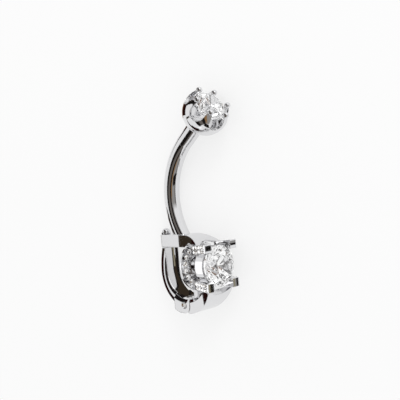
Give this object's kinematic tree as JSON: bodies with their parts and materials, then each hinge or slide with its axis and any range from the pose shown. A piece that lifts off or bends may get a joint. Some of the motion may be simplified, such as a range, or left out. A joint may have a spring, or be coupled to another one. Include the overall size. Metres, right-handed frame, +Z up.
{
  "type": "navel ring",
  "caption": "Curved bar navel ring with a round stone in a six-claw top cup, above a hinged hoop with a large round stone in four square claws and a halo of small stones.",
  "frame": {"origin": "middle of the ring's footprint, on the surface that it lies on", "axes": "+Z up from the surface, +Y from the hoop towards the top cup, +X roughly the way the main stone faces"},
  "size_m": [0.0104, 0.0223, 0.0058],
  "materials": {
    "steel": "polished",
    "pin_steel": "satin",
    "clear_stone": "polished"
  },
  "bodies": {
    "ring": {"frame": "steel", "main_stone": "clear_stone", "halo_stones": "clear_stone"},
    "gate": {"gate": "steel", "hinge_pin": "pin_steel"},
    "cup": {"top_cup": "steel", "top_stone": "clear_stone"}
  },
  "joints": [
    {"name": "gate_hinge", "type": "hinge", "parent": "ring", "child": "gate", "pos_m": [-0.00157, -0.01024, 0.00232], "axis": [-0.3292, 0.0772, 0.9411], "range_deg": [0, 48]},
    {"name": "cup_slide", "type": "slide", "parent": "ring", "child": "cup", "axis": [0.7496, 0.6274, 0.2107], "range_m": [0, 0.0025]}
  ]
}
